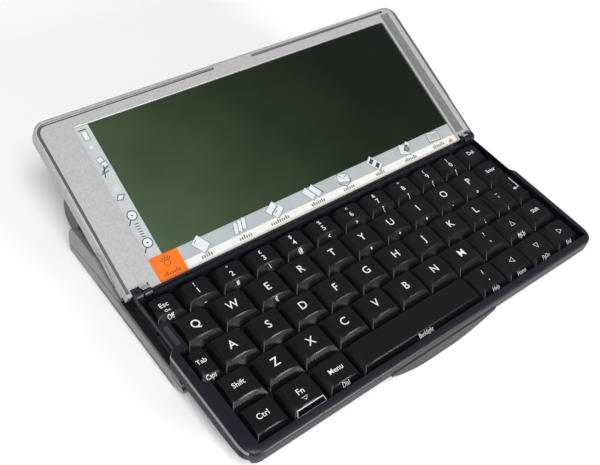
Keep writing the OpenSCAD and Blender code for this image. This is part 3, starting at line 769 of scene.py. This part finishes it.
def build_bezel():
    """The silver frame: a rolled edge, broad on the right, and a groove on the left and top. The
    groove and the outer band of the right edge are darkened with painted shade.
    """
    bm = bmesh.new()
    # (inset left and top, inset right, height)
    steps = [(0, 0, -BEZEL_T), (0, 0, -1.0), (0.05, 0.15, -0.6), (0.2, 0.8, -0.3),
             (0.4, 1.6, -0.12), (0.62, 2.1, 0)]
    outer = []
    for side, right, z in steps:
        ring = lid_ring(-HALF_W + side, HALF_W - right, LID_TOP - side, LID_LOW,
                        5 - side * 0.8, 0.3)
        outer.append(at_z(ring, z))
    left, right, _, top = WINDOW
    window = lid_ring(left, right, top, LID_LOW + 0.001, 0.8, 0.3)
    rim = lid_ring(left - 0.15, right + 0.15, top + 0.15, LID_LOW + 0.0005, 0.9, 0.3)
    inner = [at_z(rim, 0), at_z(window, -0.12), at_z(window, -BEZEL_T)]
    loft(bm, outer + inner + outer[:1], caps=False)
    # painted shade: the faces along the right outer edge take the dark groove paint
    for face in bm.faces:
        middle = face.calc_center_median()
        if middle.x > HALF_W - 2.0 and middle.z > 0.05 - BEZEL_T:
            face.material_index = 1
    bezel = piece("bezel", bm, [silver, groove_shade_and_line_paint, channel_shade_paint], "lid", LID, 35,
                  ["lid_bezel"])
    for cutter in (groove_cutter(), channel_cutter(), notch_cutter(), scoop_cutter()):
        cut_away(bezel, cutter)


def cut_away(obj, cutter):
    """Cuts one shape out of another and applies the result."""
    boolean = obj.modifiers.new("cut", "BOOLEAN")
    boolean.operation = "DIFFERENCE"
    boolean.solver = "EXACT"
    boolean.object = cutter
    graph = bpy.context.evaluated_depsgraph_get()
    mesh = bpy.data.meshes.new_from_object(obj.evaluated_get(graph))
    obj.modifiers.remove(boolean)
    old = obj.data
    obj.data = mesh
    bpy.data.meshes.remove(old)
    bpy.data.objects.remove(cutter)
    for face in obj.data.polygons:
        face.use_smooth = True
    obj.data.set_sharp_from_angle(angle=math.radians(35))


def scratch(bm, matrix, material=0):
    """A throw-away object for cutting; the material's index marks the faces it cuts."""
    for face in bm.faces:
        face.material_index = material
    bmesh.ops.remove_doubles(bm, verts=bm.verts, dist=0.0005)
    bmesh.ops.recalc_face_normals(bm, faces=bm.faces)
    bm.transform(matrix)
    mesh = bpy.data.meshes.new("cutter")
    bm.to_mesh(mesh)
    bm.free()
    obj = bpy.data.objects.new("cutter", mesh)
    bpy.context.collection.objects.link(obj)
    return obj


def tube(bm, path, radius, sides=8):
    """A round tube along a flat path, with closed ends. Points are (x, y, z)."""
    pts = [Vector(p) for p in path]
    rings = []
    for i, p in enumerate(pts):
        a, b = pts[max(0, i - 1)], pts[min(len(pts) - 1, i + 1)]
        along = (b - a).normalized()
        side = Vector((-along.y, along.x, 0))
        up = Vector((0, 0, 1))
        rings.append([p + side * radius * math.cos(2 * math.pi * k / sides)
                      + up * radius * math.sin(2 * math.pi * k / sides) for k in range(sides)])
    loft(bm, rings)


def groove_path():
    """Two runs of groove: up the left side and along the top, and the rest of the top."""
    x, y, r = -HALF_W + 1.3, LID_TOP - 1.9, 3.6
    bend = circle(x + r, y - r, r, 8, 180, -90)
    return [(x, LID_LOW + 1.2), *bend, (-11, y)], [(7, y), (HALF_W - 7, y)]


def groove_cutter():
    bm = bmesh.new()
    for run in groove_path():
        tube(bm, [(x, y, 0.05) for x, y in run], 0.55, 10)
    # the second material gives the groove's faces painted shade
    return scratch(bm, LID, 1)


def channel_cutter():
    """The shallow finger channel down the right margin, fading out at both ends; its faces are
    darkened with painted shade.
    """
    bm = bmesh.new()
    profile = [(76.0, 1.0), (76.0, 0.0), (77.2, -0.35), (79.0, -0.4), (80.4, 0.0), (80.4, 1.0)]
    low, high = LID_LOW + 3.4, LID_TOP - 3.2
    rings = []
    for y, share in ((low, 0.0), (low + 1.5, 1.0), (high - 2.5, 1.0), (high, 0.0)):
        rings.append([Vector((x, y, z if z > 0 else z * share + 0.02 * (share - 1)))
                      for x, z in profile])
    loft(bm, rings)
    # the third material gives the channel's faces painted shade
    return scratch(bm, LID, 2)


def notch_cutter():
    """Room for the hinge ears at the two lower corners."""
    bm = bmesh.new()
    for side in (-1, 1):
        x0, x1 = span_x(side, NOTCH_IN, NOTCH_OUT)
        block(bm, (x0, -1, -12), (x1, NOTCH_LOW, 3))
    return scratch(bm, LID)


def scoop_cutter():
    """A finger's width where both sides of the lid are a little narrower, near the hinge."""
    bm = bmesh.new()
    for side in (-1, 1):
        points = [(84.2, -2), (90, -2), (90, 21.5), (85.02, 21.5), (84.7, 20.6), (84.3, 19),
                  (84.2, 17)]
        plate(bm, [(side * x, y) for x, y in points], -9, 1)
    return scratch(bm, LID)


def side_ribbon(bm, points, width, x0, x1):
    """A line drawn on a side face; points are (y, z) and it reaches from x0 to x1."""
    left, right = line_sides(points, width)
    outline = left + right[::-1]
    loft(bm, [at_x(outline, x0), at_x(outline, x1)])


def finger_line_cutter():
    """Two curved lines where a finger opens the lid, on each side near the hinge."""
    bm = bmesh.new()
    upper = [(20.0, -4.6), (18.0, -3.6), (15.0, -3.6), (11.4, -4.6), (8.0, -6.2), (5.6, -7.9)]
    lower = [(19.6, -5.6), (17, -6.6), (14, -7.4), (10, -8.0)]
    for side in (-1, 1):
        for line in (upper, lower):
            side_ribbon(bm, line, 0.4, side * 83.9, side * 86)
    # the cut lines are drawn in the dark groove paint
    return scratch(bm, LID, 1)


def cover_cutters():
    """What is cut from the cover, one after the other."""
    bm = bmesh.new()
    block(bm, (-HALF_W + 2.4, LID_LOW + 3.6, -LID_T + 1.4), (HALF_W - 2.4, LID_TOP - 1.8, 1))
    yield scratch(bm, LID)
    yield notch_cutter()
    bm = bmesh.new()
    for side in (-1, 1):
        x0, x1 = span_x(side, NOTCH_OUT - 0.2, 90)
        block(bm, (x0, -1, -12), (x1, NOTCH_LOW, -5))
    yield scratch(bm, LID)
    yield scoop_cutter()
    yield finger_line_cutter()
    bm = bmesh.new()
    for x, y in VOICE_PLACES:
        ring = pill(x, y, 2.5, 1.75)
        loft(bm, [at_z(ring, -LID_T - 1), at_z(ring, -LID_T + 3)])
    yield scratch(bm, LID)


def build_cover():
    """The outer shell, its back rounded into its sides."""
    bm = bmesh.new()
    rings = [at_z(lid_ring(-HALF_W, HALF_W, LID_TOP, LID_LOW, 5, 0.3), -BEZEL_T)]
    for inset, z in ((0, -4.2), (0.12, -5.5), (0.5, -5.7), (0.6, -5.9), (0.3, -6.1),
                     (0.45, -6.5), (1.0, -7.4), (1.9, -8.1), (3.0, -8.45), (4.5, -8.6)):
        rings.append(at_z(lid_ring(-HALF_W + inset, HALF_W - inset, LID_TOP - inset,
                                   LID_LOW + inset * 0.5, 5, 0.3 + inset * 0.2), z))
    loft(bm, rings)
    cover = piece("cover", bm, [lid_silver, groove_shade_and_line_paint], "lid", LID, 35, ["lid_cover"])
    for cutter in cover_cutters():
        cut_away(cover, cutter)


def build_lugs():
    """The two barrels at the lid's lower edge, dark where they face the keyboard."""
    bm = bmesh.new()
    profile = circle(0, 0, BARREL_R, 20, 5, 265)
    profile += [(NOTCH_LOW + 0.6, -BARREL_R), (NOTCH_LOW + 0.6, 0)]
    for side in (-1, 1):
        loft(bm, [at_x(profile, x) for x in span_x(side, LUG_IN, LUG_OUT)])
    for face in bm.faces:
        if face.calc_center_median().y < 0.4:
            face.material_index = 1
    piece("lid_lugs", bm, [silver, tray_plastic], "lid", LID, 35,
          bevel=0.15)


def build_voice_buttons():
    """Three pill-shaped buttons in the back of the lid, with crowned faces."""
    bm = bmesh.new()
    for x, y in VOICE_PLACES:
        loft(bm, [at_z(pill(x, y, half, r), -LID_T + rise) for half, r, rise in (
            (2.5, 1.6, 1.6), (2.5, 1.6, 0.35), (2.4, 1.4, 0.1), (2.3, 1.1, 0))])
    piece("voice_button_caps", bm, case_grey, "voice_buttons", LID, 35, ["voice_buttons"])


# The prints on the touch panel lie in thin layers above its face, and root below it
LAYER = 0.02


def panel_piece(name, bm, material):
    """A print on the touch panel."""
    piece(name, bm, material, "lid", LID, 35)


def panel_block(name, edges, layers, material, root=0.3):
    """A rectangular print, so many layers high; edges are its left, right, low and high."""
    left, right, low, high = edges
    bm = bmesh.new()
    block(bm, (left, low, GLASS_Z - root), (right, high, GLASS_Z + layers * LAYER))
    panel_piece(name, bm, material)


def build_panel():
    """The touch panel with its display, its band of icons and the label strip below."""
    left, right, low, high = WINDOW
    left, right, high = left + 0.05, right - 0.05, high - 0.05
    bm = bmesh.new()
    block(bm, (left, low, -BEZEL_T), (right, high, GLASS_Z))
    piece("panel_film", bm, strip_ink, "lid", LID, 35, ["touch_panel"])
    x0, x1, y0, y1 = DISPLAY
    band_low = 4.0
    panel_block("display_edge", (x0, right, y0, high), 1, edge_black)
    # the display face carries a painted reflection
    panel_block("display_face", (x0 + 0.15, x1, y0 + 0.1, y1), 2, display_sheen_film, 0.2)
    panel_block("icon_band", (TILE[1], right, band_low, y0), 1, band_ink)
    panel_block("label_strip", (TILE[1], right, low, band_low), 1, label_ink)


def build_tile():
    """The orange corner tile with a plain sun mark, and the orange mark at the far end."""
    panel_block("corner_tile", TILE, 2, orange_ink)
    bm = bmesh.new()
    x, y = (TILE[0] + TILE[1]) / 2, 5.9
    top = GLASS_Z + 3 * LAYER
    stroke(bm, circle(x, y, 1.1, 16), 0.35, GLASS_Z, top, closed=True)
    for k in range(5):
        a = math.radians(40 + 25 * k)
        ray = [(x + r * math.cos(a), y + r * math.sin(a)) for r in (1.5, 2.7)]
        stroke(bm, ray, 0.4, GLASS_Z, top)
    dashes(bm, x, 2.2, 7, 1.0)
    panel_piece("tile_mark", bm, orange_dark)
    bm = bmesh.new()
    plate(bm, [(70.0, 1.4), (72.6, 1.4), (71.6, 3.3)], GLASS_Z, top)
    panel_piece("end_mark", bm, orange_ink)


def dashes(bm, x, y, count, height):
    """A row of small upright blocks where a label would be."""
    step = 0.95
    start = x - (count - 1) * step / 2
    low = y - height / 2
    for k in range(count):
        tall = height * (1.45 if (k * 5 + count) % 4 == 0 else 1.0)
        middle = start + k * step
        block(bm, (middle - 0.3, low, GLASS_Z), (middle + 0.3, low + tall, GLASS_Z + 3 * LAYER))


class Icons:
    """Three layers of print: a grey shade, a white face and dark lines."""

    def __init__(self):
        self.shade, self.face, self.line = bmesh.new(), bmesh.new(), bmesh.new()
        self.root = GLASS_Z + LAYER - 0.1
        self.shade_top, self.face_top, self.line_top = (
            GLASS_Z + LAYER * (1 + layer) for layer in (1, 2, 3))

    def card(self, x, y, w, h, angle):
        """A white card with a dark edge and a shade at its lower right."""
        shade = turned(rect(w + 0.5, h + 0.5), x + 0.25, y - 0.25, angle)
        plate(self.shade, shade, self.root, self.shade_top)
        outline = turned(rect(w, h), x, y, angle)
        self.white(outline)
        self.mark(outline, 0.14, True)

    def white(self, outline):
        plate(self.face, outline, self.root, self.face_top)

    def dark(self, outline):
        plate(self.line, outline, self.root, self.line_top)

    def mark(self, points, width=0.25, closed=False):
        stroke(self.line, points, width, self.root, self.line_top, closed)

    def pale(self, points, width=0.5, closed=False):
        stroke(self.face, points, width, self.root, self.face_top, closed)

    def done(self):
        panel_piece("icon_shade", self.shade, icon_grey)
        panel_piece("icon_face", self.face, icon_white)
        panel_piece("icon_line", self.line, icon_dark)


def build_icons():
    """The eight icons of the lower band with their label blocks, and the left strip."""
    ic = Icons()
    y = 6.9
    places = [-52.2, -35.6, -20.0, -1.7, 13.9, 30.6, 47.8, 64.4]
    page, sheets, cards, book, envelope, calculator, pad, parts = places
    ic.card(page, y, 4.2, 5.6, 32)
    ic.mark(turned([(-1.2, 2.1), (0.2, 2.1)], page, y, 32))
    for k in range(3):
        ic.card(sheets - 1.8 + 1.9 * k, y - 0.3 + 0.3 * k, 1.6, 4.2, -20)
    ic.card(cards - 0.6, y + 0.9, 5.0, 2.8, 30)
    ic.card(cards + 1.2, y - 0.9, 5.0, 2.8, 30)
    ic.mark(turned([(-1.8, 0.4), (0.2, 0.4)], cards + 1.2, y - 0.9, 30))
    ic.card(book - 1.7, y, 2.6, 5.0, 32)
    ic.card(book + 1.5, y + 0.2, 2.6, 5.0, 32)
    ic.mark(turned([(0, -2.3), (0, 2.5)], book + 3.2, y, 32), 0.35)
    ic.card(envelope, y, 5.0, 3.4, -14)
    ic.mark(turned([(-2.4, 1.6), (0, -0.3), (2.4, 1.6)], envelope, y, -14))
    ic.mark(circle(envelope, y, 3.3, 20, 200, 140))
    ic.card(calculator, y, 3.6, 6.2, 38)
    for k in (0, 1):
        ic.dark(turned(rect(2.4, 1.5), calculator - 0.9 + 1.8 * k, y + 1.2 - 2.4 * k, 38))
    ic.card(pad - 0.5, y, 4.6, 4.2, -18)
    ic.card(pad + 1.4, y + 0.6, 2.0, 4.4, -40)
    ic.pale(turned(rect(5.2, 3.4), parts, y, -6), 0.4, True)
    ic.mark(turned([(-3, 2.2), (3, 2.2)], parts, y, -6))
    ic.mark(turned(rect(6.4, 4.4), parts, y, -6), 0.22, True)
    left_icons(ic)
    ic.done()
    bm = bmesh.new()
    for x, count in zip(places, (5, 6, 9, 7, 6, 5, 7, 7)):
        dashes(bm, x, 2.3, count, 1.05)
    panel_piece("label_blocks", bm, word_ink)


def left_icons(ic):
    """The marks down the left strip, from a card at its top to two lenses at its foot."""
    x = -69.1
    ic.card(x, 58.2, 1.9, 3.4, 0)
    ic.mark([(x - 1.6, 60.6), (x + 1.4, 60.6)], 0.35)
    ic.white(circle(x - 0.2, 53.6, 0.7, 12))
    ic.card(x + 0.2, 48.2, 2.0, 1.8, 12)
    ic.card(x + 0.9, 46.2, 2.0, 1.8, 12)
    ic.mark([(x - 1.4, 43.6), (x + 1.6, 45.4)], 0.3)
    ic.mark([(x - 1.2, 41.6), (x + 0.4, 46.0)], 0.3)
    ic.mark([(x - 2.0, 43.0), (x + 1.2, 43.6)], 0.25)
    for k in range(3):
        ic.pale([(x - 0.6 + 0.8 * k, 38.0), (x - 0.2 + 0.8 * k, 35.8)], 0.25)
    ic.mark(turned([(-1.9, 0), (0, -1.2), (1.9, 0), (0, 1.2)], x, 33.2, 20), 0.3, True)
    ic.white(turned([(-1.1, 0), (0, -0.7), (1.1, 0), (0, 0.7)], x, 33.2, 20))
    for y in (25.8, 15.0):
        ic.white(circle(x + 0.3, y, 1.5, 20))
        ic.mark(circle(x + 0.3, y, 1.75, 24), 0.28, True)
        ic.mark([(x - 0.9, y - 1.3), (x - 2.3, y - 3.0)], 0.35)
        ic.dark(circle(x + 0.3, y, 0.35, 10))
    for k in range(6):
        ic.mark([(x - 0.6, 22.6 - k), (x + 0.9, 22.4 - k)], 0.25)


# ---------- keyboard surround

tray_low, tray_high = node_span("keyboard_tray")
case_high = node_span("keyboard_case")[1]
wall_x = node_span("base_shell")[1].x

TRAY_HALF, TRAY_D, WELL_LOW = tray_high.x, -tray_low.y, tray_low.z
TRAY_REAR, CASE_TOP = case_high.y, case_high.z
NECK_HALF = 82.4        # half the width between the base's sides
SHOULDER_Y = -22.5
SHOULDER_RUN = 2.2
RIM_Z = 14.2


def tray_ring(inset):
    """The keyboard's outline, wide in front and narrower between the base's sides."""
    wide, neck = TRAY_HALF - inset, NECK_HALF - inset * 0.25
    front, rear = -TRAY_D + inset, TRAY_REAR - inset * 0.2
    shoulder = SHOULDER_Y - SHOULDER_RUN
    points = [(-wide, front), (wide, front), (wide, shoulder), (neck, SHOULDER_Y), (neck, rear),
              (-neck, rear), (-neck, SHOULDER_Y), (-wide, shoulder)]
    corner = 6.4 - inset * 0.9
    return rounded_corners(points, [corner, corner, 0.7, 0.7, 0.4, 0.4, 0.7, 0.7], 7)


def well_outline(spare):
    """The outline round the keys; its left edge steps with the rows."""
    esc, letter, tab, ctrl = (cells_of(node)[0] for node in
                              ("key_esc", "keys_q_to_t", "key_tab", "key_ctrl"))
    right = cells_of("key_delete")[0].right + spare
    digit_front, tab_rear, tab_front = esc.front - spare, tab.rear + spare, tab.front - spare
    return [(ctrl.left - spare, ctrl.front - spare), (right, ctrl.front - spare),
            (right, esc.rear + spare), (esc.left - spare, esc.rear + spare),
            (esc.left - spare, digit_front), (letter.left - spare, digit_front),
            (letter.left - spare, tab_rear), (tab.left - spare, tab_rear),
            (tab.left - spare, tab_front), (ctrl.left - spare, tab_front)]


def round_bar(bm, side, stations):
    """A round bar on the hinge axis of one side; stations are (x, radius)."""
    loft(bm, [at_x(circle(0, HINGE_Z, r), side * x) for x, r in stations])


def paint_roll_highlight(bm):
    """Gives the left side's rolled edge the second material, a painted highlight where it catches
    the light.
    """
    for face in bm.faces:
        middle = face.calc_center_median()
        if 12.8 < middle.z < 13.6 and middle.x < 1.5 - TRAY_HALF and middle.y > 2 - TRAY_D:
            face.material_index = 1


def build_tray():
    """The dark surround, rolled over at its outer edge, with the walls of the key well."""
    bm = bmesh.new()
    loft(bm, [at_z(tray_ring(inset), z) for inset, z in (
        (0, CASE_TOP), (0, 12.75), (0.12, 13.15), (0.4, 13.5), (0.8, 13.78), (1.35, 13.99),
        (2.0, 14.12), (2.6, 14.18), (3.0, RIM_Z))])
    # painted highlight along the left side's rolled edge
    paint_roll_highlight(bm)
    tray = piece("tray", bm, [tray_plastic, roll_highlight_paint], "keyboard", DESK, 40,
                 ["keyboard_tray"])
    bm = bmesh.new()
    plate(bm, well_outline(0.15), CASE_TOP - 3, RIM_Z + 1)
    cut_away(tray, scratch(bm, DESK))
    bm = bmesh.new()
    for side in (-1, 1):
        round_bar(bm, side, [(76.2, 2.2), (79.6, 2.2)])
    lamp_low, lamp_high = node_span("status_lamp")
    room = Vector((0.04, 0.04, 0))
    block(bm, lamp_low - room, lamp_high + room + Vector((0, 0, 2)))
    cut_away(tray, scratch(bm, DESK))
    bm = bmesh.new()
    outer, inner = well_outline(0.75), well_outline(0.15)
    loft(bm, [at_z(outer, WELL_LOW), at_z(outer, CASE_TOP + 0.1), at_z(inner, CASE_TOP + 0.1),
              at_z(inner, WELL_LOW), at_z(outer, WELL_LOW)], caps=False)
    piece("tray_well", bm, tray_plastic, "keyboard", DESK, 30)
    bm = bmesh.new()
    for side in (-1, 1):
        round_bar(bm, side, [(79.65, 1.7), (79.8, 1.88), (82.2, 1.88), (82.38, 1.7)])
    piece("tray_ears", bm, tray_plastic, "keyboard", DESK, 40)


def build_seams():
    """The parting line along each side wall of the base."""
    bm = bmesh.new()
    inside, outside = wall_x - 0.05, wall_x + 0.04
    left = [(37.8, 3.4), (28, 5.2), (19.4, 6.4), (-26, 8.0)]
    right = [(37.8, 5.4), (28, 6.4), (19.4, 6.9), (-26, 8.0)]
    side_ribbon(bm, left, 0.3, -inside, -outside)
    side_ribbon(bm, right, 0.3, inside, outside)
    piece("base_seam", bm, edge_black, "base", DESK, 30)


def finish_cad():
    """CAD nodes whose shape is right get rounded edges and a full material."""
    looks = {
        "base_shell": (shaded_base_coat, 0.35), "barrel_shell": (shell_silver, 0.25),
        # the barrel caps' dark plastic is a painted shadow
        "barrel_caps": (barrel_cap_shadow, 0.2), "battery_door": (shell_silver, 0.15),
        "base_deck": (sheet_steel, 0.05), "slide_rails": (pin_steel, 0.08),
        "rubber_feet": (rubber, 0.2), "front_foot": (rubber, 0.2),
        "base_screws": (pin_steel, 0.06), "aa_cells": (cell_jacket, 0.3),
        "battery_contacts": (sheet_steel, 0.08), "backup_cell": (sheet_steel, 0.15),
        "backup_cell_cap": (case_grey, 0.12), "main_board": (board_green, 0.06),
        "card_cage": (sheet_steel, 0.05), "memory_card_door": (shell_silver, 0.1),
        "speaker": (black_plastic, 0.15), "ir_window": (ir_plastic, 0.06),
        "serial_socket": (black_plastic, 0.1), "dc_jack": (black_plastic, 0.08),
        "stylus_holder": (tray_plastic, 0.08), "stylus": (case_grey, 0.3),
        "keyboard_case": (case_shaded_sides, 0.45),
        "key_guide_plate": (sheet_steel, 0.05), "key_membrane": (membrane_film, 0.04),
        "status_lamp": (lamp_plastic, 0.2), "hinge_pins": (pin_steel, 0.1),
        "lcd_panel": (display_sheen_film, 0.08), "backlight_sheet": (backlight_foil, 0.04),
        "display_board": (board_green, 0.06),
    }
    for name, (material, width) in looks.items():
        obj = frame["nodes"][name]
        obj.data.materials.clear()
        obj.data.materials.append(material)
        round_edges(obj, width)


# ---------- floor, light and camera

FLOOR_HALF = 3000


def build_stage():
    """A pale floor, just under the object's feet, and an even pale room."""
    bm = bmesh.new()
    block(bm, (-FLOOR_HALF, -FLOOR_HALF, -2), (FLOOR_HALF, FLOOR_HALF, -0.02))
    n = Nodes("floor_paper", (0.9, 0.91, 0.92), 0.7)
    n.colour(n.ramp(n.noise(3, 2), [(0.3, (0.90, 0.91, 0.92)), (0.7, (0.92, 0.93, 0.94))]))
    mesh = bpy.data.meshes.new("floor")
    bm.transform(Matrix.Scale(MM, 4))
    bm.to_mesh(mesh)
    bm.free()
    mesh.materials.append(n.mat)
    floor = bpy.data.objects.new("floor", mesh)
    bpy.context.collection.objects.link(floor)
    world = bpy.data.worlds.new("room")
    world.use_nodes = True
    background = world.node_tree.nodes["Background"]
    background.inputs["Color"].default_value = (0.95, 0.975, 1.0, 1)
    background.inputs["Strength"].default_value = 0.36
    bpy.context.scene.world = world


def soft_light(name, place, target, size, power):
    """A square soft box aimed at a point; lengths in millimetres, power in watts."""
    lamp = bpy.data.lights.new(name, "AREA")
    lamp.size = size * MM
    lamp.energy = power
    obj = bpy.data.objects.new(name, lamp)
    obj.location = Vector(place) * MM
    aim = (Vector(target) - Vector(place)).normalized()
    obj.rotation_euler = aim.to_track_quat("-Z", "Y").to_euler()
    bpy.context.collection.objects.link(obj)


def build_lights():
    """A large soft box from the front left, a weak one from the left and a low one in front."""
    soft_light("key_light", (-500, -1100, 2200), (0, 0, 10), 1100, 46)
    soft_light("side_light", (-1600, -300, 900), (0, 0, 10), 700, 6.5)
    soft_light("front_light", (320, -910, 304), (-50, -40, 14), 300, 8)


# Angles in degrees, lengths in millimetres; the lens is for a sensor 36 mm wide
CAMERA = {"azimuth": -49.3, "elevation": 47.2, "roll": 14.26, "distance": 302,
          "target": (-15.5, -3.6, 12), "lens": 49.59}


def build_camera():
    """The viewing angle, distance and framing."""
    az, el = math.radians(CAMERA["azimuth"]), math.radians(CAMERA["elevation"])
    back = Vector((math.sin(az) * math.cos(el), -math.cos(az) * math.cos(el), math.sin(el)))
    data = bpy.data.cameras.new("camera")
    data.sensor_width = 36
    data.lens = CAMERA["lens"]
    data.clip_start = 0.01
    data.clip_end = 20
    cam = bpy.data.objects.new("camera", data)
    cam.rotation_mode = "QUATERNION"
    look = (-back).to_track_quat("-Z", "Y")
    roll = Matrix.Rotation(math.radians(CAMERA["roll"]), 4, "Z").to_quaternion()
    cam.rotation_quaternion = look @ roll
    cam.location = (Vector(CAMERA["target"]) + back * CAMERA["distance"]) * MM
    bpy.context.collection.objects.link(cam)
    bpy.context.scene.camera = cam


build_stage()
build_lights()
build_camera()
finish_cad()
build_tray()
build_seams()
build_keys()
build_bezel()
build_cover()
build_lugs()
build_voice_buttons()
build_panel()
build_tile()
build_icons()

bpy.context.scene.view_settings.view_transform = "Standard"
